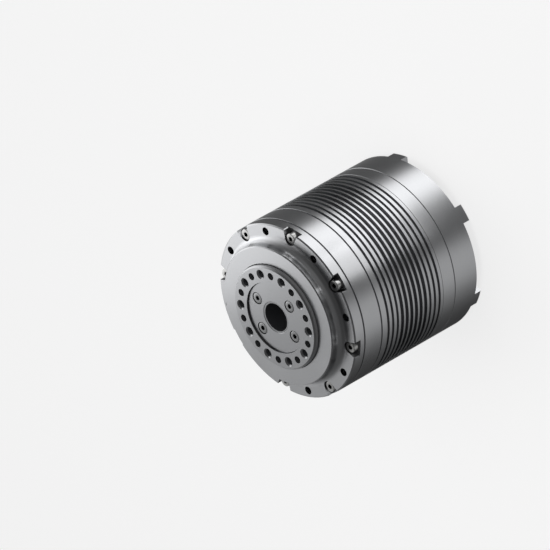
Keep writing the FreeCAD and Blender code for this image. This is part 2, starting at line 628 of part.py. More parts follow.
def cross_rollers(mid):
    """Rollers with their axes crossed in turn, and the blocks between them."""
    count = 24
    rollers, blocks = [], []
    radius, length = number(d.roller_r), number(d.roller_len)
    pitch, level = number(d.cross_pitch_r), number(mid)
    gap = 2 * math.pi * pitch / count - 2 * radius - 0.4
    side = 2 * radius * 0.9
    for k in range(count):
        lean = 45 if k % 2 else -45
        turn = FreeCAD.Rotation(FreeCAD.Vector(0, 0, 1), 360.0 * k / count)
        roller = Part.makeCylinder(radius, length, FreeCAD.Vector(0, 0, -length / 2))
        block = Part.makeBox(side, gap, side, FreeCAD.Vector(-side / 2, -gap / 2, -side / 2))
        tilt = FreeCAD.Rotation(FreeCAD.Vector(0, 1, 0), lean)
        roller.Placement = FreeCAD.Placement(
            turn.multVec(FreeCAD.Vector(pitch, 0, level)), turn.multiply(tilt))
        turn = FreeCAD.Rotation(FreeCAD.Vector(0, 0, 1), 360.0 * (k + 0.5) / count)
        block.Placement = FreeCAD.Placement(
            turn.multVec(FreeCAD.Vector(pitch, 0, level)), turn.multiply(tilt))
        rollers.append(roller)
        blocks.append(block)
    for label, solids in (("cross_bearing_rollers", rollers), ("cross_bearing_spacers", blocks)):
        feature = doc.addObject("Part::Feature", label)
        feature.Label = label
        feature.Shape = Part.makeCompound(solids)


def bearing_seal():
    body = part_body("output_seal")
    low = z_boss - d.lip_len
    revolve(body, "seal_turned", [
        (d.disc_r + 0.08, low - 0.6), (d.seal_r - 1.6, z_cross_top), (d.seal_r, z_cross_top),
        (d.seal_r, low), (d.disc_r + 0.08, low)])
    return body


def lock_ring():
    body = part_body("bearing_lock_ring")
    ring(body, "lock_turned", d.skirt_r, d.lock_r, z_cross - d.lock_len, z_cross)
    return body


def tooth_outline(sketch, count, base_r, tip_r):
    """One straight-sided tooth, or tooth gap, about +X; widths follow from the tooth count."""
    base_half = base_r * (math.pi * 0.36 * 2 / count)
    tip_half = tip_r * (math.pi * 0.15 * 2 / count)
    outline(sketch, [(base_r, base_half * -1), (tip_r, tip_half * -1), (tip_r, tip_half),
                     (base_r, base_half)])


def circular_spline():
    """Rigid ring with internal teeth, two more than the flexspline has."""
    body = part_body("circular_spline")
    tip = d.flex_tip_r + d.mesh_gap
    ring(body, "spline_turned", tip, d.spline_outer_r, z_gear, z_spline_top)
    sketch = level_sketch(body, "spline_gap_sketch", z_spline_top, 180.0 / SPLINE_TEETH)
    tooth_outline(sketch, SPLINE_TEETH, tip - 0.1, tip + d.tooth_high * 1.3)
    gap = extrude(body, sketch, "spline_gap", d.spline_len, cut=True)
    polar(body, "spline_teeth", [gap], SPLINE_TEETH)


def flexspline():
    """A thin cup, open below, toothed round its open end; drawn round, as it is unstressed."""
    body = part_body("flexspline")
    root = d.flex_tip_r - d.tooth_high
    inner = root - d.flex_wall
    face = z_plate - d.flex_lift
    boss_low = z_plate - d.flex_boss_len
    revolve(body, "cup_turned", [
        (inner, z_wave), (root, z_wave), (root, face), (d.flex_boss_r, face),
        (d.flex_boss_r, z_plate), (d.clamp_in_r, z_plate), (d.clamp_in_r, boss_low),
        (d.flex_boss_r, boss_low), (d.flex_boss_r, face - d.flex_face), (inner, face - d.flex_face)])
    dress(body, "cup_corner", [(root, face)], d.flex_wall * 1.8, "Fillet")
    hole_circle(body, "cup_hole", d.screw_r + d.clear_gap, d.clamp_pcd_r, z_plate,
                d.flex_boss_len, 6)
    sketch = level_sketch(body, "flex_tooth_sketch", z_wave)
    tooth_outline(sketch, FLEX_TEETH, root - 0.1, d.flex_tip_r)
    tooth = extrude(body, sketch, "flex_tooth", d.flex_tooth_len)
    polar(body, "flex_teeth", [tooth], FLEX_TEETH)


def clamp_ring():
    body = part_body("flexspline_clamp_ring")
    ring(body, "clamp_turned", d.clamp_in_r, d.flex_boss_r - 0.4, z_clamp, z_clamp + d.clamp_len)
    hole_circle(body, "clamp_hole", d.screw_r + d.clear_gap, d.clamp_pcd_r,
                z_clamp + d.clamp_len, d.clamp_len, 6)
    return body


def oval_ring(label, out_major, thick, low, length, bore=None):
    """A ring between two ovals of the wave generator, or between an oval and a round bore."""
    lift = d.wave_lift * 2
    solids = []
    for name, major in (("outer", out_major), ("inner", out_major - thick)):
        if name == "inner" and bore is not None:
            solid = doc.addObject("Part::Cylinder", f"{label}_bore")
            solid.setExpression("Radius", bore.text)
            solid.setExpression("Height", (length + 2).text)
            solid.setExpression("Placement.Base.z", (low - 1).text)
            solids.append(solid)
            continue
        oval = doc.addObject("Part::Ellipse", f"{label}_{name}_oval")
        oval.setExpression("MajorRadius", major.text)
        oval.setExpression("MinorRadius", (major - lift).text)
        extra = 0 if name == "outer" else 1
        oval.setExpression("Placement.Base.z", (low - extra).text)
        solid = doc.addObject("Part::Extrusion", f"{label}_{name}")
        solid.Base = oval
        solid.DirMode = "Custom"
        solid.Dir = FreeCAD.Vector(0, 0, 1)
        solid.setExpression("LengthFwd", (length + 2 * extra).text)
        solid.Solid = True
        solids.append(solid)
    cut = doc.addObject("Part::Cut", label)
    cut.Label = label
    cut.Base, cut.Tool = solids
    return cut


def wave_generator():
    """Oval plug in a thin flexible ball bearing that presses the flexspline's teeth outwards."""
    outer = d.wave_r
    path = outer - d.race_wall - d.wave_ball_r
    inner_race = path - d.wave_ball_r
    oval_ring("wave_bearing_outer_race", outer, d.race_wall, z_wave, d.wave_len)
    oval_ring("wave_bearing_inner_race", inner_race, d.race_wall, z_wave, d.wave_len)
    oval_ring("wave_generator_plug", inner_race - d.race_wall, d.race_wall, z_wave,
              d.wave_len + 0.5, bore=d.shaft_r)
    count = 18
    level = number(z_wave + d.wave_len / 2)
    major = number(path)
    minor = major - 2 * number(d.wave_lift)
    balls = []
    for k in range(count):
        angle = 2 * math.pi * k / count
        balls.append(ball(number(d.wave_ball_r) - 0.02, major * math.cos(angle),
                          minor * math.sin(angle), level))
    feature = doc.addObject("Part::Feature", "wave_bearing_balls")
    feature.Label = "wave_bearing_balls"
    feature.Shape = Part.makeCompound(balls)


def ball(radius, x, y, z):
    return Part.makeSphere(radius, FreeCAD.Vector(x, y, z))


def ball_bearing(name, low):
    """Outer ring, inner ring and balls of one shaft bearing."""
    pitch = (d.shaft_r + d.ball_ring_r) / 2
    mid = low + d.ball_len / 2
    half = d.ball_r + 0.1
    top = low + d.ball_len
    outer_land = d.shaft_r + d.ball_ring_r - d.land_r
    body = part_body(f"{name}_bearing_inner_ring")
    revolve(body, f"{name}_inner_turned", [
        (d.shaft_r, low), (d.land_r, low), (d.land_r, mid - half),
        (pitch - d.ball_r, mid - half), (pitch - d.ball_r, mid + half), (d.land_r, mid + half),
        (d.land_r, top), (d.shaft_r, top)])
    body = part_body(f"{name}_bearing_outer_ring")
    revolve(body, f"{name}_outer_turned", [
        (d.ball_ring_r, low), (outer_land, low), (outer_land, mid - half),
        (pitch + d.ball_r, mid - half), (pitch + d.ball_r, mid + half), (outer_land, mid + half),
        (outer_land, top), (d.ball_ring_r, top)])
    count = 9
    balls = []
    for k in range(count):
        angle = 2 * math.pi * k / count
        balls.append(ball(number(d.ball_r) - 0.02, number(pitch) * math.cos(angle),
                          number(pitch) * math.sin(angle), number(mid)))
    feature = doc.addObject("Part::Feature", f"{name}_bearing_balls")
    feature.Label = f"{name}_bearing_balls"
    feature.Shape = Part.makeCompound(balls)


def rotor_shaft():
    body = part_body("rotor_shaft")
    low = z_code - d.nut_len
    top = z_wave_top + 0.5 + d.ring_len + d.shaft_tail
    revolve(body, "shaft_turned", [
        (d.shaft_bore_r, low), (d.shaft_r, low), (d.shaft_r, z_rear_ball_top),
        (d.shoulder_r, z_rear_ball_top), (d.shoulder_r, z_front_ball), (d.shaft_r, z_front_ball),
        (d.shaft_r, top), (d.shaft_bore_r, top)])
    ring_low = z_wave_top + 0.5
    revolve(body, "ring_groove", [
        (d.shaft_r - d.ring_groove, ring_low), (d.shaft_r + 1, ring_low),
        (d.shaft_r + 1, ring_low + d.ring_len), (d.shaft_r - d.ring_groove, ring_low + d.ring_len)],
        cut=True)
    return body


def rotor_small_rings():
    ring_low = z_wave_top + 0.5
    ring(part_body("wave_generator_retaining_ring"), "ring_turned", d.shaft_r - d.ring_groove,
         d.ring_r, ring_low, ring_low + d.ring_len)
    ring(part_body("wave_generator_spacer"), "spacer_turned", d.shaft_r, d.spacer_r,
         z_front_ball_top, z_wave)
    ring(part_body("front_bearing_clip"), "clip_turned",
         d.ball_ring_r + d.clip_deep - d.clip_wide, d.ball_ring_r + d.clip_deep,
         z_front_ball_top, z_front_ball_top + d.clip_len)
    ring(part_body("brake_hub"), "brake_hub_turned", d.shaft_r, d.brake_nave_r, z_code_top,
         z_rear_ball)
    ring(part_body("brake_disc"), "brake_disc_turned", d.brake_nave_r, d.brake_disc_r,
         z_brake_disc, z_brake_disc + d.brake_disc_len)
    ring(part_body("input_encoder_disc"), "code_turned", d.shaft_r, d.code_disc_r, z_code,
         z_code_top)
    ring(part_body("shaft_nut"), "nut_turned", d.shaft_r, d.shaft_r + d.nut_wall,
         z_code - d.nut_len, z_code)
    ring(part_body("tube_bushing"), "bush_turned", d.tube_r + 0.05, d.bush_r, z_rim,
         z_rim + d.bush_len)


def rotor():
    body = part_body("rotor_hub")
    rim_out, rim_in, hub = d.rim_out_r, d.rim_in_r, d.hub_r
    mid = z_rotor + d.rotor_len / 2
    web_low, web_high = mid - d.web_len / 2, mid + d.web_len / 2
    revolve(body, "rotor_turned", [
        (d.shoulder_r, z_rotor + 2), (hub, z_rotor + 2), (hub, web_low), (rim_in, web_low),
        (rim_in, z_rotor), (rim_out, z_rotor), (rim_out, z_rotor_top), (rim_in, z_rotor_top),
        (rim_in, web_high), (hub, web_high), (hub, z_rotor_top - 2),
        (d.shoulder_r, z_rotor_top - 2)])
    hole_circle(body, "web_hole", d.web_hole_r, d.web_hole_pcd_r, web_high, d.web_len, 8)

    body = part_body("rotor_magnets")
    count = 14
    half = math.radians(360.0 / count / 2 * 0.86)
    inner, outer = number(rim_out), number(d.magnet_r)
    sketch = level_sketch(body, "magnet_sketch", z_rotor)
    ca, sa = math.cos(half), math.sin(half)
    arcs = [Part.ArcOfCircle(Part.Circle(FreeCAD.Vector(0, 0, 0), FreeCAD.Vector(0, 0, 1), r),
                             -half, half) for r in (inner, outer)]
    sides = [Part.LineSegment(FreeCAD.Vector(inner * ca, s * inner * sa, 0),
                              FreeCAD.Vector(outer * ca, s * outer * sa, 0)) for s in (-1, 1)]
    for geometry in arcs + sides:
        sketch.addGeometry(geometry, False)
    for arc, vertex, side, end in ((0, 1, 2, 1), (0, 2, 3, 1), (1, 1, 2, 2), (1, 2, 3, 2)):
        sketch.addConstraint(Sketcher.Constraint("Coincident", arc, vertex, side, end))
    for arc, size in ((0, rim_out), (1, d.magnet_r)):
        sketch.addConstraint(Sketcher.Constraint("Coincident", arc, 3, -1, 1))
        held = sketch.addConstraint(Sketcher.Constraint("Radius", arc, number(size)))
        sketch.setExpression(f"Constraints[{held}]", size.text)
    for side, angle in ((2, -half), (3, half)):
        sketch.addConstraint(Sketcher.Constraint("PointOnObject", -1, 1, side))
        sketch.addConstraint(Sketcher.Constraint("Angle", side, angle))
    pad = extrude(body, sketch, "magnet", d.rotor_len)
    polar(body, "magnets", [pad], count)


def stator():
    count = 12
    half_pitch = math.radians(180.0 / count)
    body = part_body("stator_core")
    ring(body, "core_turned", d.stator_bore_r, d.stator_r, z_stator, z_stator_top)
    # slot between two teeth with parallel sides: seen along +X, the slot's middle
    ca, sa = math.cos(half_pitch), math.sin(half_pitch)
    tooth = d.tooth_width / 2

    def side_point(radius, sign):
        # a point of the tooth's side, the tooth standing half a pitch away
        return (radius * ca + tooth * sa, (radius * sa - tooth * ca) * sign)

    sketch = level_sketch(body, "slot_sketch", z_stator_top, 15.0)
    mouth = d.slot_mouth / 2
    outline(sketch, [
        (d.stator_bore_r - 1.0, mouth * -1), (d.slot_lip_r, mouth * -1),
        side_point(d.slot_lip_r, -1), side_point(d.slot_root_r, -1),
        side_point(d.slot_root_r, 1), side_point(d.slot_lip_r, 1),
        (d.slot_lip_r, mouth), (d.stator_bore_r - 1.0, mouth)])
    slot = extrude(body, sketch, "slot", d.stator_len, cut=True)
    polar(body, "slots", [slot], count)

    body = part_body("stator_coils")
    sketch = level_sketch(body, "coil_sketch", z_stator - d.coil_over)
    wide = d.tooth_width / 2 + d.coil_wide
    outline(sketch, [(d.coil_start_r, wide * -1), (d.coil_end_r, wide * -1),
                     (d.coil_end_r, wide), (d.coil_start_r, wide)])
    block = extrude(body, sketch, "coil_block", d.stator_len + d.coil_over * 2)
    sketch = level_sketch(body, "coil_window_sketch", z_stator_top)
    outline(sketch, [(d.coil_start_r - 1, tooth * -1), (d.coil_end_r + 1, tooth * -1),
                     (d.coil_end_r + 1, tooth), (d.coil_start_r - 1, tooth)])
    window = extrude(body, sketch, "coil_window", d.stator_len, cut=True)
    polar(body, "coils", [block, window], count)


def brake():
    body = part_body("brake_coil_body")
    coil_low = z_coil_body + d.coil_deep
    revolve(body, "coil_body_turned", [
        (d.coil_body_in, z_coil_body), (d.coil_in_r, z_coil_body), (d.coil_in_r, coil_low),
        (d.coil_out_r, coil_low), (d.coil_out_r, z_coil_body), (d.coil_body_r, z_coil_body),
        (d.coil_body_r, z_web), (d.coil_body_in, z_web)])
    hole_circle(body, "spring_hole", d.spring_r, d.spring_pcd_r, z_coil_body + d.spring_deep,
                d.spring_deep, 6)
    ring(part_body("brake_coil"), "coil_turned", d.coil_in_r, d.coil_out_r,
         z_coil_body + 0.4, coil_low)
    ring(part_body("brake_armature"), "armature_turned", d.coil_body_in, d.coil_body_r,
         z_armature, z_armature + d.armature_len)
    body = part_body("brake_springs")
    peg_circle(body, "spring", d.spring_r - 0.05, d.spring_pcd_r,
               z_armature + d.armature_len, d.air_gap + d.spring_deep, 6)
    body = part_body("brake_end_plate")
    ring(body, "plate_turned", d.brake_plate_in, d.brake_pillar_pcd + d.brake_pillar_r,
         z_brake_plate, z_brake_plate + d.brake_plate_len)
    hole_circle(body, "plate_hole", d.small_screw_r, d.brake_pillar_pcd,
                z_brake_plate + d.brake_plate_len, d.brake_plate_len, 3, 30)
    body = part_body("brake_pillars")
    low = z_brake_plate + d.brake_plate_len
    peg_circle(body, "pillar", d.brake_pillar_r, d.brake_pillar_pcd, low, z_web - low, 3, 30)
    hole_circle(body, "pillar_bore", d.small_screw_r, d.brake_pillar_pcd, z_web, z_web - low,
                3, 30)


def boards():
    body = part_body("drive_board")
    ring(body, "board_turned", d.board_in_r, d.board_r, z_board, z_board_top)
    hole_circle(body, "board_hole", d.small_screw_r, d.pillar_pcd_r, z_board_top, d.board_len,
                3, 90)
    body = part_body("board_pillars")
    peg_circle(body, "board_pillar", d.pillar_r, d.pillar_pcd_r, z_floor, d.board_rise, 3, 90)
    hole_circle(body, "board_pillar_bore", d.small_screw_r, d.pillar_pcd_r, z_board,
                d.board_rise, 3, 90)
    peg_circle(part_body("board_capacitors"), "can", d.can_r, d.can_pcd_r,
               z_board - d.can_len, d.can_len, 4, 45)
    body = part_body("board_power_chips")
    sketch = level_sketch(body, "chip_sketch", z_board - d.chip_len, 30.0)
    chip_in, side = d.out_code_r + 1, d.read_width / 2
    outline(sketch, [(chip_in, side * -1), (chip_in + d.read_width, side * -1),
                     (chip_in + d.read_width, side), (chip_in, side)])
    chip = extrude(body, sketch, "chip", d.chip_len)
    polar(body, "chips", [chip], 6)
    half = d.read_width / 2
    reader_in = d.board_in_r + 0.4
    body = part_body("encoder_readers")
    under = z_output_code() + d.out_code_len + d.read_gap
    for name, low, turn, reach, tall in (
            ("input", z_board_top, 90.0, reader_in + 4.4, d.chip_len),
            ("output", under, 270.0, reader_in + 3.0, z_board - under)):
        sketch = level_sketch(body, f"{name}_reader_sketch", low, turn)
        outline(sketch, [(reader_in, half * -1), (reach, half * -1), (reach, half),
                         (reader_in, half)])
        extrude(body, sketch, f"{name}_reader", tall)
    body = part_body("output_encoder_disc")
    low = z_output_code()
    revolve(body, "out_code_turned", [
        (d.tube_r, low), (d.out_code_r, low), (d.out_code_r, low + d.out_code_len),
        (d.tube_r, low + d.out_code_len)])
    wide, deep = d.plug_wide / 2, d.plug_deep / 2
    body = part_body("board_connectors")
    low = z_rim - d.plug_out
    sketch = level_sketch(body, "plug_sketch", low)
    outline(sketch, [(d.plug_pcd_r - deep, wide * -1), (d.plug_pcd_r + deep, wide * -1),
                     (d.plug_pcd_r + deep, wide), (d.plug_pcd_r - deep, wide)])
    block = extrude(body, sketch, "plug", z_board - low)
    sketch = level_sketch(body, "plug_mouth_sketch", low + d.plug_mouth)
    outline(sketch, [(d.plug_pcd_r - deep + 1, wide * -1 + 1), (d.plug_pcd_r + deep - 1, wide * -1 + 1),
                     (d.plug_pcd_r + deep - 1, wide - 1), (d.plug_pcd_r - deep + 1, wide - 1)])
    socket = extrude(body, sketch, "plug_mouth_cut", d.plug_mouth, cut=True)
    polar(body, "plugs", [block, socket], 2)


def z_output_code():
    return z_rim + d.bush_len + d.out_code_lift


def screws():
    flange_points = [(d.flange_pcd_r, 0.0)]
    screw_set("flange_screws", z_face - d.pocket_deep, flange_points, d.screw_r, d.head_r,
              d.head_len, d.flange_screw_len, 8)
    cap_points = []
    for turn in CAP_ANGLES:
        a = math.radians(turn)
        cap_points.append((d.cap_pcd_r * math.cos(a), d.cap_pcd_r * math.sin(a)))
    screw_set("hub_cap_screws", z_cap_seat(), cap_points, d.screw_r, d.head_r, d.head_len,
              d.cap_screw_len, 2)
    screw_set("rear_screws", z_rim + d.rear_pocket_deep, [(d.rear_pcd_r, 0.0)], d.screw_r,
              d.head_r, d.head_len, d.rear_screw_len, 6, up=False)
    screw_set("flexspline_screws", z_clamp, [(d.clamp_pcd_r, 0.0)], d.screw_r, d.head_r,
              d.head_len * 0.6, d.clamp_screw_len, 6, up=False, socket=False)
    screw_set("brake_screws", z_brake_plate, [(d.brake_pillar_pcd, 0.0)], d.small_screw_r,
              d.small_head_r, d.small_head_len, d.brake_plate_len + (z_web - z_brake_plate), 3,
              up=False, socket=False, turn=30.0)
    screw_set("board_screws", z_board_top, [(d.pillar_pcd_r, 0.0)], d.small_screw_r,
              d.small_head_r, d.small_head_len, d.board_len + d.board_rise + 1.5, 3,
              socket=False, turn=90.0)


def main():
    front_flange()
    gear_housing()
    motor_housing()
    brake_housing()
    rear_cover()
    output_flange()
    hub_cap()
    hollow_tube()
    cross_rollers(cross_bearing())
    bearing_seal()
    lock_ring()
    circular_spline()
    flexspline()
    clamp_ring()
    wave_generator()
    ball_bearing("front", z_front_ball)
    ball_bearing("rear", z_rear_ball)
    rotor_shaft()
    rotor_small_rings()
    rotor()
    stator()
    brake()
    boards()
    screws()
    doc.recompute()

    hidden = set()
    for item in doc.Objects:
        if item.TypeId == "Part::Cut":
            hidden.update((item.Base.Name, item.Tool.Name))
    made = [o for o in doc.Objects if o.Name not in hidden and o.TypeId in (
        "PartDesign::Body", "Part::Feature", "Part::Cut")]
    for item in doc.Objects:
        if any(word in item.State for word in ("Invalid", "Error")):
            raise RuntimeError(f"{item.Name} failed: {item.State}")
    for item in made:
        if item.Shape.isNull() or not item.Shape.isValid() or not item.Shape.Solids:
            raise RuntimeError(f"{item.Label} has no valid shape")
    os.makedirs("parts", exist_ok=True)
    for item in made:
        item.Shape.exportStep(f"parts/{item.Label}.step")
        print(f"{item.Label}: {len(item.Shape.Solids)} solids, {item.Shape.Volume:.0f} mm3")
    print(len(made), "nodes")


main()
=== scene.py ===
import json
import math

import bpy
from mathutils import Matrix, Vector


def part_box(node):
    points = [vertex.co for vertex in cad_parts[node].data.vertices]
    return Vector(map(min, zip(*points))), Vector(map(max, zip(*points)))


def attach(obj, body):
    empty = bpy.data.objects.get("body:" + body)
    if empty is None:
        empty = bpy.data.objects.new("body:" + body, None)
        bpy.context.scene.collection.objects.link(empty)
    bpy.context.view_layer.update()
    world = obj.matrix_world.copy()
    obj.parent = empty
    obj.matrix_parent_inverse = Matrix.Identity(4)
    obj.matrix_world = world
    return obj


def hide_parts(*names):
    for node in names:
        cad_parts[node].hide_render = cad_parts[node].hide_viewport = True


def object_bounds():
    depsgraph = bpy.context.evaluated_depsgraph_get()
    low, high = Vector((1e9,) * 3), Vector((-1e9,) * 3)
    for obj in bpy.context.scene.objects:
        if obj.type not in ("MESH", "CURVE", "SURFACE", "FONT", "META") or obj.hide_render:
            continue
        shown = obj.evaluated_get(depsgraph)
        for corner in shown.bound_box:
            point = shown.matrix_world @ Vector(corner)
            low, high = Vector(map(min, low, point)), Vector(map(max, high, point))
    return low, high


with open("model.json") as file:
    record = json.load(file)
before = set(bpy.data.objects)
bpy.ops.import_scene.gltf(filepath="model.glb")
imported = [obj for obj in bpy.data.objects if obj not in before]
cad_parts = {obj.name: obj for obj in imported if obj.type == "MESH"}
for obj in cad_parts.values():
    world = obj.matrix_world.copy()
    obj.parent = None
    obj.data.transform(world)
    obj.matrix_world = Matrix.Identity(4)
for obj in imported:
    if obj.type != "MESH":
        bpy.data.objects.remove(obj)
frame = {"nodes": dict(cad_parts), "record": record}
cad_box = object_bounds()
nodes = frame["nodes"]
MM = 0.001
# in mm: where the cooling grooves lie and how deep they go, and the size of the output disc
GROOVES_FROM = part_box("motor_housing")[0][2] / MM + 1.0
GROOVES_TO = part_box("motor_housing")[1][2] / MM - 1.0
GROOVE_MOUTH_R, GROOVE_BOTTOM_R = 44.8, 44.2
DISC_R = (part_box("output_flange")[1][0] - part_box("output_flange")[0][0]) / 2 / MM
DISC_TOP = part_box("output_flange")[1][2] / MM
# levels near the front, in mm: the foot of the disc's rim, a level between the boss face
# and the faces on the disc, the bare end of the tube, the disc's cut edge, and clear above
RIM_FOOT, OVER_BOSS, TUBE_END, RIM_TOP, ABOVE_ALL = 94.3, 94.6, 95.31, 95.7, 99
# sizes of the screws and holes, in mm
HEAD_LEN = 3.0
FLANGE_PITCH_R, REAR_PITCH_R, CAP_PITCH_R, OUTPUT_PITCH_R = 41.2, 41.6, 13.4, 22.5
OUTPUT_BORE_R, OUTPUT_BORE_SUNK = 1.84, 0.66


# Colours and shader nodes.

def linear(text):
    """An sRGB hex colour as linear RGBA."""
    out = []
    for i in (0, 2, 4):
        c = int(text[i:i + 2], 16) / 255
        out.append(c / 12.92 if c <= 0.04045 else ((c + 0.055) / 1.055) ** 2.4)
    return (*out, 1.0)


def add(tree, kind, links=(), inputs=(), **settings):
    """Adds a shader node: settings are its properties, inputs its values, links its sources."""
    node = tree.nodes.new("ShaderNode" + kind)
    for name, value in settings.items():
        setattr(node, name, value)
    for socket, value in inputs:
        node.inputs[socket].default_value = value
    for socket, source in links:
        tree.links.new(source, node.inputs[socket])
    return node


def ramp(tree, source, stops):
    """A colour ramp over (position, grey or colour) stops."""
    node = add(tree, "ValToRGB", [(0, source)])
    bar = node.color_ramp
    while len(bar.elements) < len(stops):
        bar.elements.new(0.5)
    for element, (position, tone) in zip(bar.elements, stops):
        element.position = position
        element.color = tone if isinstance(tone, tuple) else (tone, tone, tone, 1.0)
    return node.outputs[0]


def finish(name, metallic):
    """A new material with a principled shader, and its tree."""
    material = bpy.data.materials.new(name)
    material.use_nodes = True
    tree = material.node_tree
    shader = tree.nodes["Principled BSDF"]
    shader.inputs["Metallic"].default_value = metallic
    return material, tree, shader


def place(tree, scale=(1, 1, 1)):
    """Object coordinates, scaled."""
    where = add(tree, "TexCoord").outputs["Object"]
    return add(tree, "Mapping", [("Vector", where)], [("Scale", scale)]).outputs[0]


def from_axis(tree):
    """Distance from the actuator's axis."""
    flat = place(tree, (1, 1, 0))
    return add(tree, "VectorMath", [(0, flat)], operation="LENGTH").outputs["Value"]


def along_axis(tree):
    """Level along the actuator's axis."""
    return add(tree, "SeparateXYZ", [(0, place(tree))]).outputs[2]


def compass(tree, axes):
    """The direction of x and y round the axis, in radians."""
    return add(tree, "Math", [(0, axes[1]), (1, axes[0])], operation="ARCTAN2").outputs[0]


def band(tree, value, low_mm, high_mm):
    """1 where a length lies between two sizes in mm, 0 elsewhere."""
    middle, reach = (low_mm + high_mm) / 2 * MM, (high_mm - low_mm) / 2 * MM
    return add(tree, "Math", [(0, value)], [(1, middle), (2, reach)],
               operation="COMPARE").outputs[0]


def product(tree, *factors):
    """The product of several values."""
    total = factors[0]
    for factor in factors[1:]:
        total = add(tree, "Math", [(0, total), (1, factor)], operation="MULTIPLY").outputs[0]
    return total


def recolour(tree, shader, share, colour):
    """Mixes another colour in over the base colour where share is 1."""
    base = shader.inputs["Base Color"].links[0].from_socket
    mixed = add(tree, "Mix", [(0, share), (6, base)], [(7, linear(colour))],
                data_type="RGBA").outputs[2]
    tree.links.new(mixed, shader.inputs["Base Color"])


def round_axis(tree):
    """Radius and height alone, so that a grain is drawn out into marks round the axis."""
    return add(tree, "CombineXYZ", [(0, from_axis(tree)), (2, along_axis(tree))]).outputs[0]


def stripes(tree, value, pitch, share):
    """1 on a line that is a share of each pitch wide, 0 between the lines."""
    count = add(tree, "Math", [(0, value)], [(1, 1 / pitch)], operation="MULTIPLY").outputs[0]
    part = add(tree, "Math", [(0, count)], operation="FRACT").outputs[0]
    return add(tree, "Math", [(0, part)], [(1, share)], operation="LESS_THAN").outputs[0]


def raise_by(tree, shader, height, lift_mm):
    """Adds one more height to a surface, over its grain."""
    grain = shader.inputs["Normal"].links[0].from_socket
    bump = add(tree, "Bump", [("Height", height), ("Normal", grain)],
               [("Distance", lift_mm * MM), ("Strength", 0.6)])
    tree.links.new(bump.outputs[0], shader.inputs["Normal"])


def grained(tree, shader, colours, grain_mm, rough, lift_mm, at=None):
    """Colour, gloss and height from one fine grain and one broad, faint unevenness."""
    at = at or place(tree)
    fine = add(tree, "TexNoise", [("Vector", at)],
               [("Scale", 0.6 / (grain_mm * MM)), ("Detail", 2.0)]).outputs[0]
    broad = add(tree, "TexNoise", [("Vector", at)], [("Scale", 60.0), ("Detail", 3.0)]).outputs[0]
    both = add(tree, "Math", [(0, fine), (1, broad)], operation="ADD").outputs[0]
    half = add(tree, "Math", [(0, both)], [(1, 0.5)], operation="MULTIPLY").outputs[0]
    colour = ramp(tree, half, [(0.3, linear(colours[0])), (0.7, linear(colours[1]))])
    tree.links.new(colour, shader.inputs["Base Color"])
    gloss = ramp(tree, half, [(0.3, rough[0]), (0.7, rough[1])])
    tree.links.new(gloss, shader.inputs["Roughness"])
    bump = add(tree, "Bump", [("Height", fine)],
               [("Distance", lift_mm * MM), ("Strength", 0.5)])
    tree.links.new(bump.outputs[0], shader.inputs["Normal"])


# Finishes. The numbers of a grain are its size in mm, roughness from and to, height in mm.

def anodised_aluminium():
    # turned, bead-blasted and anodised grey: an even satin with a grain just below sight.
    # The cooling grooves carry painted shade, darker towards their bottoms. The
    # turning output disc and its cap are coloured a shade deeper than the rest, and
    # the disc's matt rim stays mid grey where bare metal would go black
    material, tree, shader = finish("grey_anodised_aluminium", 1.0)
    grained(tree, shader, ("A9AAAC", "B5B6B8"), 0.22, (0.27, 0.33), 0.004)
    radius, high = from_axis(tree), along_axis(tree)
    # painted shade: the colour darkens from the mouth of each cooling groove to its bottom
    depth = add(tree, "MapRange", [(0, radius)],
                [(1, GROOVE_MOUTH_R * MM), (2, GROOVE_BOTTOM_R * MM)]).outputs[0]
    groove_shade = product(tree, depth, band(tree, high, GROOVES_FROM, GROOVES_TO))
    recolour(tree, shader, groove_shade, "9C9D9F")
    # the output disc and its cap are coloured a shade darker than the rest
    output = product(tree, band(tree, radius, 0, DISC_R + 1),
                     band(tree, high, OVER_BOSS, ABOVE_ALL))
    recolour(tree, shader, output, "A3A4A6")
    rim = product(tree, band(tree, radius, DISC_R - 0.1, DISC_R + 0.1),
                  band(tree, high, RIM_FOOT, RIM_TOP))
    matt = add(tree, "MapRange", [(0, rim)], [(3, 1.0), (4, 0.3)]).outputs[0]
    tree.links.new(matt, shader.inputs["Metallic"])
    return material


def machine_screw_steel():
    # plated alloy steel: close to the aluminium in tone, glossier and slightly mottled;
    # the four screws round the bore, inside a radius of 19 mm, are coloured a shade darker
    material, tree, shader = finish("plated_screw_steel", 1.0)
    grained(tree, shader, ("A3A3A2", "B4B4B3"), 0.3, (0.26, 0.34), 0.004)
    recolour(tree, shader, band(tree, from_axis(tree), 0, 19), "8C8D8E")
    return material


def ground_steel():
    # bearing steel, ground: bright, with fine marks that run round the axis
    material, tree, shader = finish("ground_bearing_steel", 1.0)
    grained(tree, shader, ("9C9DA0", "C0C1C3"), 0.25, (0.16, 0.28), 0.003, round_axis(tree))
    return material


def lamination_steel():
    # electrical sheet, 0.5 mm, stacked and varnished: dark, with a line at every sheet
    material, tree, shader = finish("stacked_lamination_steel", 1.0)
    grained(tree, shader, ("5B5C60", "75767B"), 0.4, (0.35, 0.5), 0.004)
    joints = stripes(tree, along_axis(tree), 0.5 * MM, 0.2)
    recolour(tree, shader, joints, "26272A")
    return material


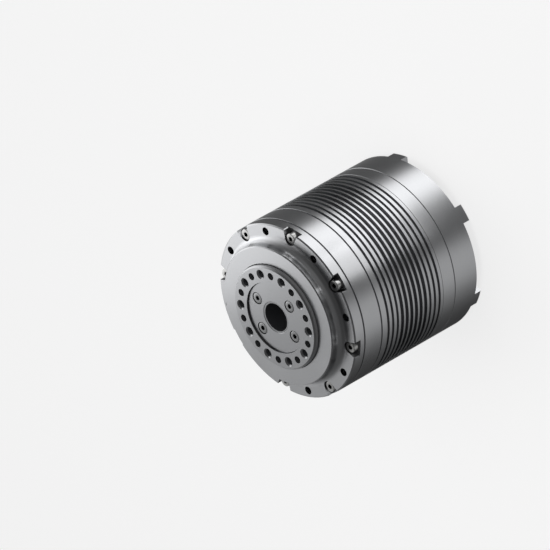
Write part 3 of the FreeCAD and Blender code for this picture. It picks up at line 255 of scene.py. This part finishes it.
def enamelled_wire():
    # copper magnet wire, 0.6 mm, under clear enamel: each coil is wound round its tooth, so
    # the turns lie side by side outwards from the axis as round ridges, with shade painted dark
    # between them
    material, tree, shader = finish("enamelled_copper_wire", 1.0)
    grained(tree, shader, ("9A4A22", "B9632F"), 0.6, (0.2, 0.3), 0.01)
    ridge = add(tree, "Math", [(0, from_axis(tree))], [(1, 0.3 * MM)],
                operation="PINGPONG").outputs[0]
    height = add(tree, "MapRange", [(0, ridge)], [(1, 0.0), (2, 0.3 * MM)]).outputs[0]
    raise_by(tree, shader, height, 0.25)
    # painted shade: dark colour in the creases between the turns
    painted_crease_shade = add(tree, "MapRange", [(0, height)], [(1, 0.3), (2, 0.0), (4, 0.8)]).outputs[0]
    recolour(tree, shader, painted_crease_shade, "3A160A")
    return material


def nickel_plate():
    # nickel-plated magnets: smooth and slightly yellow
    material, tree, shader = finish("nickel_plated_magnet", 1.0)
    grained(tree, shader, ("A8A59C", "BDBAB1"), 0.8, (0.14, 0.22), 0.002)
    return material


def black_anodised_tube():
    # hard black anodised aluminium: a dull black oxide, and bare bright metal where the end
    # of the tube was faced off after anodising
    material, tree, shader = finish("black_anodised_tube", 0.0)
    grained(tree, shader, ("2E2F31", "3A3B3D"), 0.3, (0.32, 0.42), 0.004)
    # inside a radius of 9 mm, so that the linings of the output holes, black as painted shade,
    # stay as they are
    faced = product(tree, band(tree, along_axis(tree), TUBE_END, ABOVE_ALL),
                    band(tree, from_axis(tree), 0, 9))
    recolour(tree, shader, faced, "909193")
    tree.links.new(faced, shader.inputs["Metallic"])
    return material


def nitrile_rubber():
    # moulded nitrile: black, dull, faintly pitted, with low ribs round the axis
    material, tree, shader = finish("moulded_nitrile_rubber", 0.0)
    grained(tree, shader, ("1A1A1B", "262627"), 0.4, (0.5, 0.65), 0.01)
    raise_by(tree, shader, stripes(tree, from_axis(tree), 0.9 * MM, 0.5), 0.05)
    return material


def nylon():
    # moulded natural nylon: cream, waxy
    material, tree, shader = finish("moulded_nylon", 0.0)
    grained(tree, shader, ("C9C2AC", "D6D0BC"), 0.6, (0.4, 0.5), 0.006)
    return material


def friction_lining():
    # pressed brake lining: dark grey-brown with brass-coloured flecks of fibre
    material, tree, shader = finish("pressed_friction_lining", 0.0)
    grained(tree, shader, ("2A2723", "4C463E"), 0.5, (0.75, 0.9), 0.03)
    cells = add(tree, "TexVoronoi", [("Vector", place(tree, (1, 2.5, 1)))],
                [("Scale", 0.8 / MM)]).outputs["Distance"]
    flecks = add(tree, "Math", [(0, cells)], [(1, 0.18)], operation="LESS_THAN").outputs[0]
    recolour(tree, shader, flecks, "9A8352")
    return material


def solder_mask():
    # green solder mask over copper: glossy, with paler raised tracks in broken arcs round the
    # board and small tinned vias between them
    material, tree, shader = finish("green_solder_mask", 0.0)
    grained(tree, shader, ("0C3F25", "13492C"), 0.7, (0.22, 0.3), 0.004)
    noise = add(tree, "TexNoise", [("Vector", place(tree))], [("Scale", 160.0)]).outputs[0]
    broken = add(tree, "Math", [(0, noise)], [(1, 0.5)], operation="GREATER_THAN").outputs[0]
    tracks = product(tree, stripes(tree, from_axis(tree), 1.1 * MM, 0.45), broken)
    recolour(tree, shader, tracks, "2A7A48")
    raise_by(tree, shader, tracks, 0.035)
    cells = add(tree, "TexVoronoi", [("Vector", place(tree, (1, 1, 0)))],
                [("Scale", 0.35 / MM)]).outputs["Distance"]
    vias = add(tree, "Math", [(0, cells)], [(1, 0.12)], operation="LESS_THAN").outputs[0]
    recolour(tree, shader, vias, "B9B7AE")
    tree.links.new(vias, shader.inputs["Metallic"])
    return material


def moulded_black():
    # glass-filled black nylon and moulded packages: matt, finely grained
    material, tree, shader = finish("moulded_black_plastic", 0.0)
    grained(tree, shader, ("17181A", "232427"), 0.25, (0.45, 0.6), 0.008)
    return material


def drawn_can():
    # drawn aluminium capacitor cans: bright, soft
    material, tree, shader = finish("drawn_capacitor_can", 1.0)
    grained(tree, shader, ("B5B6B8", "C8C9CB"), 0.4, (0.24, 0.34), 0.004)
    return material


def etched_disc():
    # etched encoder disc: steel with a track of 128 dark radial lines near its rim
    material, tree, shader = finish("etched_encoder_disc", 1.0)
    grained(tree, shader, ("8C8E92", "A4A7AB"), 0.3, (0.2, 0.3), 0.003)
    axes = add(tree, "SeparateXYZ", [(0, place(tree))]).outputs
    lines = stripes(tree, compass(tree, axes), math.tau / 128, 0.5)
    track = product(tree, lines, band(tree, from_axis(tree), 15.6, 18.4))
    recolour(tree, shader, track, "1B1C1F")
    return material


def gold_flash():
    # connector pins, gold flash over nickel: the one warm bright spot at the rear
    material, tree, shader = finish("gold_flashed_pin", 1.0)
    grained(tree, shader, ("C29A45", "D8B45C"), 0.2, (0.18, 0.28), 0.002)
    return material


FINISHES = {
    "anodised_aluminium": anodised_aluminium, "screw_steel": machine_screw_steel,
    "bearing_steel": ground_steel, "lamination_steel": lamination_steel,
    "copper_wire": enamelled_wire, "plated_magnet": nickel_plate,
    "black_tube": black_anodised_tube, "seal_rubber": nitrile_rubber, "polymer": nylon,
    "friction_lining": friction_lining, "circuit_board": solder_mask,
    "black_plastic": moulded_black, "capacitor_can": drawn_can, "encoder_disc": etched_disc,
}
materials = {slot: make() for slot, make in FINISHES.items()}
materials["pins"] = gold_flash()
for part in frame["record"]["subparts"]:
    mesh = nodes[part["node"]].data
    mesh.materials.clear()
    mesh.materials.append(materials[part["material_slot"]])


# Screws, thread linings and contact pins.

def edit(thing, mode):
    """Opens one object for editing with nothing in it selected."""
    bpy.ops.object.select_all(action="DESELECT")
    thing.select_set(True)
    bpy.context.view_layer.objects.active = thing
    bpy.ops.object.mode_set(mode="EDIT")
    bpy.ops.mesh.select_mode(type=mode)
    bpy.ops.mesh.select_all(action="DESELECT")


def choose(thing, part, test):
    """Selects only the edges whose ends, or the polygons whose centre and normal, pass a test."""
    bpy.ops.mesh.select_all(action="DESELECT")
    bpy.ops.object.mode_set(mode="OBJECT")
    mesh = thing.data
    for item in getattr(mesh, part):
        if part == "edges":
            a, b = (mesh.vertices[i].co for i in item.vertices)
            item.select = test(a) and test(b)
        else:
            item.select = test(item.center, item.normal)
    bpy.ops.object.mode_set(mode="EDIT")


def close(thing, name, angle=32):
    """Leaves edit mode with normals outwards and curved faces smooth."""
    bpy.ops.mesh.select_all(action="SELECT")
    bpy.ops.mesh.remove_doubles(threshold=1e-6)
    bpy.ops.mesh.normals_make_consistent(inside=False)
    bpy.ops.object.mode_set(mode="OBJECT")
    bpy.ops.object.transform_apply(location=True, rotation=True, scale=True)
    bpy.ops.object.shade_smooth_by_angle(angle=math.radians(angle))
    thing.name = thing.data.name = name


def out_from_axis(point):
    """Distance of a point from the axis."""
    return math.hypot(point[0], point[1])


def socket_screw(name, length, head_r=2.75, head_len=HEAD_LEN, shank_r=1.5, flat=2.3, deep=1.5):
    """A socket-head cap screw, head up, seated at the origin. Sizes in mm."""
    head_r, head_len, shank_r, flat, deep, length = (
        v * MM for v in (head_r, head_len, shank_r, flat, deep, length))
    corner = flat / math.sqrt(3.0)
    tiny = 0.02 * MM
    bpy.ops.object.select_all(action="DESELECT")
    bpy.ops.mesh.primitive_cylinder_add(vertices=48, radius=head_r, depth=head_len,
                                        location=(0, 0, head_len / 2))
    screw = bpy.context.object
    bpy.ops.object.transform_apply(location=True)
    edit(screw, "FACE")
    # the socket: the top is opened on a round rim, which is joined to a hexagon and sunk
    choose(screw, "polygons", lambda c, n: n[2] > 0.9)
    bpy.ops.mesh.inset(thickness=head_r - corner * 1.22)
    bpy.ops.mesh.delete(type="FACE")
    bpy.ops.mesh.primitive_circle_add(vertices=6, radius=corner, location=(0, 0, head_len))
    bpy.ops.mesh.subdivide(number_cuts=7)
    bpy.ops.mesh.select_mode(type="EDGE")
    choose(screw, "edges",
           lambda c: abs(c[2] - head_len) < tiny and out_from_axis(c) < corner * 1.3)
    bpy.ops.mesh.bridge_edge_loops()
    choose(screw, "edges",
           lambda c: abs(c[2] - head_len) < tiny and out_from_axis(c) < corner + tiny)
    bpy.ops.mesh.extrude_region_move(TRANSFORM_OT_translate={"value": (0, 0, -deep)})
    bpy.ops.mesh.extrude_region_move(TRANSFORM_OT_translate={"value": (0, 0, -0.4 * MM)})
    bpy.ops.transform.resize(value=(0.1, 0.1, 1.0))
    bpy.ops.mesh.edge_face_add()
    # shank
    bpy.ops.mesh.select_mode(type="FACE")
    choose(screw, "polygons", lambda c, n: n[2] < -0.9 and c[2] < tiny)
    bpy.ops.mesh.inset(thickness=head_r - shank_r)
    bpy.ops.mesh.extrude_region_move(TRANSFORM_OT_translate={"value": (0, 0, -length)})
    bpy.ops.transform.resize(value=(0.82, 0.82, 1.0))
    # the turned edge of the head
    bpy.ops.mesh.select_mode(type="EDGE")
    choose(screw, "edges",
           lambda c: abs(c[2] - head_len) < tiny and out_from_axis(c) > head_r - tiny)
    bpy.ops.mesh.bevel(offset=0.18 * MM, segments=3)
    close(screw, name)
    return screw


def thread_sleeve(name, bore_r, turns, pitch=0.7, tooth=0.16):
    """The threaded lining of one hole, its mouth at the origin and its depth along -Z."""
    bore_r, pitch, tooth = (v * MM for v in (bore_r, pitch, tooth))
    share = (bore_r - tooth) / bore_r
    bpy.ops.object.select_all(action="DESELECT")
    bpy.ops.mesh.primitive_circle_add(vertices=24, radius=bore_r)
    sleeve = bpy.context.object
    edit(sleeve, "EDGE")
    bpy.ops.mesh.select_all(action="SELECT")
    # each turn is drawn in to the crest and out again to the root
    for turn in range(turns):
        for scale in (share, 1 / share):
            bpy.ops.mesh.extrude_region_move(
                TRANSFORM_OT_translate={"value": (0, 0, -pitch / 2)})
            bpy.ops.transform.resize(value=(scale, scale, 1.0))
    # the bottom of the hole, a shallow drilled cone
    bpy.ops.mesh.extrude_region_move(
        TRANSFORM_OT_translate={"value": (0, 0, -0.3 * bore_r)})
    bpy.ops.transform.resize(value=(0.05, 0.05, 1.0))
    bpy.ops.mesh.edge_face_add()
    close(sleeve, name, 20)
    # a lining shows its inner side
    bpy.ops.object.mode_set(mode="EDIT")
    bpy.ops.mesh.select_all(action="SELECT")
    bpy.ops.mesh.flip_normals()
    bpy.ops.object.mode_set(mode="OBJECT")
    return sleeve


def contact_pin(name, side=0.6, length=2.5):
    """A square contact with a tapered tip, its root at the origin and its length along -Z."""
    side, length = side * MM, length * MM
    bpy.ops.object.select_all(action="DESELECT")
    bpy.ops.mesh.primitive_cube_add(size=1.0, location=(0, 0, -length / 2))
    pin = bpy.context.object
    pin.scale = (side, side, length)
    bpy.ops.object.transform_apply(location=True, scale=True)
    edit(pin, "FACE")
    choose(pin, "polygons", lambda c, n: n[2] < -0.9)
    bpy.ops.mesh.extrude_region_move(TRANSFORM_OT_translate={"value": (0, 0, -0.35 * MM)})
    bpy.ops.transform.resize(value=(0.45, 0.45, 1.0))
    close(pin, name)
    return pin


def set_out(pattern, name, spots, body, slot, stands_for=()):
    """Copies a pattern piece to each spot, (x, y, z, turn, heads down) in mm and degrees."""
    copies = []
    for x, y, z, turn, down in spots:
        one = pattern.copy()
        one.data = pattern.data.copy()
        bpy.context.scene.collection.objects.link(one)
        put = Matrix.Translation((x * MM, y * MM, z * MM)) @ Matrix.Rotation(
            math.radians(turn), 4, "Z")
        if down:
            put = put @ Matrix.Rotation(math.pi, 4, "X")
        one.data.transform(put)
        copies.append(one)
    bpy.ops.object.select_all(action="DESELECT")
    for one in copies:
        one.select_set(True)
    bpy.context.view_layer.objects.active = copies[0]
    bpy.ops.object.join()
    group = bpy.context.object
    group.name = group.data.name = name
    group.data.materials.clear()
    group.data.materials.append(materials[slot])
    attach(group, body)
    if stands_for:
        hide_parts(*stands_for)


def round_spots(pitch_r, seat, first, count, down=False):
    """Spots on a circle; the sockets of real screws end up turned every which way."""
    spots = []
    for k in range(count):
        a = math.radians(first + 360 / count * k)
        spots.append((pitch_r * math.cos(a), pitch_r * math.sin(a), seat, 17 + 23 * k, down))
    return spots


# flange screws stand in their pockets, rear and hub-cap screws in their counterbores
pattern = socket_screw("pattern", 19.0)
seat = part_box("flange_screws")[1][2] / MM - HEAD_LEN
spots = round_spots(FLANGE_PITCH_R, seat, 0, 8)
set_out(pattern, "flange_screw_set", spots, "housing", "screw_steel", ["flange_screws"])
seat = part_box("rear_screws")[0][2] / MM + HEAD_LEN
spots = round_spots(REAR_PITCH_R, seat, 0, 6, True)
set_out(pattern, "rear_screw_set", spots, "housing", "screw_steel", ["rear_screws"])
bpy.data.objects.remove(pattern)
pattern = socket_screw("pattern", 5.0)
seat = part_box("hub_cap_screws")[1][2] / MM - HEAD_LEN
# two pairs, as the photograph shows them
spots = round_spots(CAP_PITCH_R, seat, 24.5, 2) + round_spots(CAP_PITCH_R, seat, 96.5, 2)
set_out(pattern, "hub_cap_screw_set", spots, "output", "screw_steel", ["hub_cap_screws"])
bpy.data.objects.remove(pattern)
# linings of the twenty output holes, larger and smaller mouths alike, in the black finish of the
# tube as painted shade deep in the holes
pattern = thread_sleeve("pattern", OUTPUT_BORE_R, 7)
spots = round_spots(OUTPUT_PITCH_R, DISC_TOP - OUTPUT_BORE_SUNK, 0, 20)
set_out(pattern, "output_thread_sleeves_painted_shade", spots, "output", "black_tube")
bpy.data.objects.remove(pattern)
# contacts, two rows of five in each of the two connectors at the rear
pattern = contact_pin("pattern")
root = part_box("board_connectors")[0][2] / MM + 3.2
spots = [(27 * end + row, 2 * k, root, 0, False)
         for end in (-1, 1) for row in (-1, 1) for k in range(-2, 3)]
set_out(pattern, "connector_pins", spots, "housing", "pins")
bpy.data.objects.remove(pattern)


# Floor, light and camera.

def studio_world():
    """White to the camera. To metal it is a ring of soft panels with darker gaps between them."""
    world = bpy.data.worlds.new("studio")
    bpy.context.scene.world = world
    world.use_nodes = True
    tree = world.node_tree
    tree.nodes.clear()
    way = add(tree, "TexCoord").outputs["Generated"]
    axes = add(tree, "SeparateXYZ", [(0, way)]).outputs
    turn = add(tree, "Math", [(0, compass(tree, axes))], [(1, 1 / math.tau)],
               operation="MULTIPLY").outputs[0]
    turn = add(tree, "Math", [(0, turn)], operation="FRACT").outputs[0]
    # panels by compass direction, 0 at +X: well below the horizon, level, and high up
    low = ramp(tree, turn, [
        (0.0, 0.15), (0.17, 0.14), (0.24, 0.40), (0.265, 0.35), (0.30, 0.04), (0.40, 0.08),
        (0.44, 0.13), (0.50, 0.32), (0.56, 0.70), (0.645, 0.76), (0.695, 0.2), (0.75, 0.2),
        (0.82, 0.45), (0.885, 2.4), (0.962, 2.4), (0.994, 0.2)])
    middle = ramp(tree, turn, [
        (0.0, 0.16), (0.04, 0.55), (0.09, 1.65), (0.125, 2.0), (0.16, 2.1), (0.19, 1.0),
        (0.24, 0.80), (0.31, 0.73), (0.36, 0.25), (0.42, 0.12), (0.70, 0.16), (0.82, 0.24),
        (0.96, 0.16)])
    high = ramp(tree, turn, [(0.0, 0.1), (0.5, 0.08), (1.0, 0.1)])
    panels = low
    # each takes over from the one below it between two sines of the height in the sky
    for upper, start, end in ((middle, -0.5, -0.1), (high, 0.55, 0.8)):
        climb = add(tree, "MapRange", [(0, axes[2])], [(1, start), (2, end)],
                    interpolation_type="SMOOTHSTEP").outputs[0]
        panels = add(tree, "Mix", [(0, climb), (6, panels), (7, upper)],
                     data_type="RGBA").outputs[2]
    glow = add(tree, "Background", [(0, panels)])
    white = add(tree, "Background", [], [(0, (0.9, 0.9, 0.9, 1)), (1, 1.0)])
    seen = add(tree, "LightPath").outputs["Is Camera Ray"]
    both = add(tree, "MixShader", [(0, seen), (1, glow.outputs[0]), (2, white.outputs[0])])
    add(tree, "OutputWorld", [(0, both.outputs[0])])


def studio_floor():
    """A plain pale floor, three quarters white to the camera, so that it keeps the shadow."""
    bpy.ops.object.select_all(action="DESELECT")
    bpy.ops.mesh.primitive_plane_add(size=8.0, location=(0, 0, cad_box[0][2] - 0.0002))
    floor = bpy.context.object
    floor.name = "floor"
    floor.visible_glossy = False
    material = bpy.data.materials.new("pale_floor")
    material.use_nodes = True
    tree = material.node_tree
    tree.nodes.clear()
    lit = add(tree, "BsdfDiffuse", [], [(0, linear("EEEEEE"))])
    white = add(tree, "Emission", [], [(0, (1, 1, 1, 1)), (1, 1.0)])
    path = add(tree, "LightPath").outputs
    seen = add(tree, "Math", [(0, path["Is Camera Ray"]), (1, path["Is Transmission Ray"])],
               operation="MAXIMUM").outputs[0]
    seen = add(tree, "Math", [(0, seen), (1, path["Is Glossy Ray"])],
               operation="MAXIMUM").outputs[0]
    share = add(tree, "Math", [(0, seen)], [(1, 0.75)], operation="MULTIPLY").outputs[0]
    both = add(tree, "MixShader", [(0, share), (1, lit.outputs[0]), (2, white.outputs[0])])
    add(tree, "OutputMaterial", [(0, both.outputs[0])])
    floor.data.materials.append(material)


def softbox(name, at, aim, size, power, on_metal=True):
    """A square area lamp, either seen in metal or lighting the floor, paint and plastic."""
    lamp = bpy.data.lights.new(name, "AREA")
    lamp.size = size
    lamp.energy = power
    box = bpy.data.objects.new(name, lamp)
    bpy.context.scene.collection.objects.link(box)
    box.location = at
    box.visible_camera = False
    box.visible_glossy = on_metal
    box.visible_diffuse = not on_metal
    box.rotation_euler = (Vector(aim) - Vector(at)).to_track_quat("-Z", "Y").to_euler()


def photo_camera():
    """The photograph's view: from in front and above, rolled so that the axis lies aslant.

    The directions, the shift and the lens are fitted to the outlines in the photograph. The
    long lens from nearly 4 m keeps the view almost parallel.
    """
    face = Vector((0, 0, 0.088))
    towards = Vector((0.0116, -0.8023, 0.5968)).normalized()
    right = Vector((-0.4841, -0.5268, -0.6985))
    up = Vector((0.8750, -0.2808, -0.3944))
    target = face - right * 0.00568 + up * 0.01714
    camera = bpy.data.cameras.new("camera")
    camera.sensor_width = 36.0
    camera.lens = 523.7
    holder = bpy.data.objects.new("camera", camera)
    bpy.context.scene.collection.objects.link(holder)
    spot = face + towards * 3.794
    back = (spot - target).normalized()
    side = up.cross(back).normalized()
    holder.matrix_world = Matrix.Translation(spot) @ Matrix(
        (side, back.cross(side), back)).transposed().to_4x4()
    bpy.context.scene.camera = holder


studio_world()
studio_floor()
# lamps: where they hang, where they point, their side in m and their power in W
softbox("panel", (0.123, 0.213, 0.262), (0, 0, 0.09), 0.22, 0.12)
softbox("upper", (0.065, 0.142, 0.178), (0.065, 0.030, 0.094), 0.1, 0.016)
softbox("low front", (0.034, -0.128, 0.018), (0.007, -0.044, 0.084), 0.08, 0.027)
softbox("overhead", (0.15, -0.25, 1.10), (0, 0, 0.03), 1.2, 9.0, False)
photo_camera()
bpy.context.scene.view_settings.view_transform = "Standard"
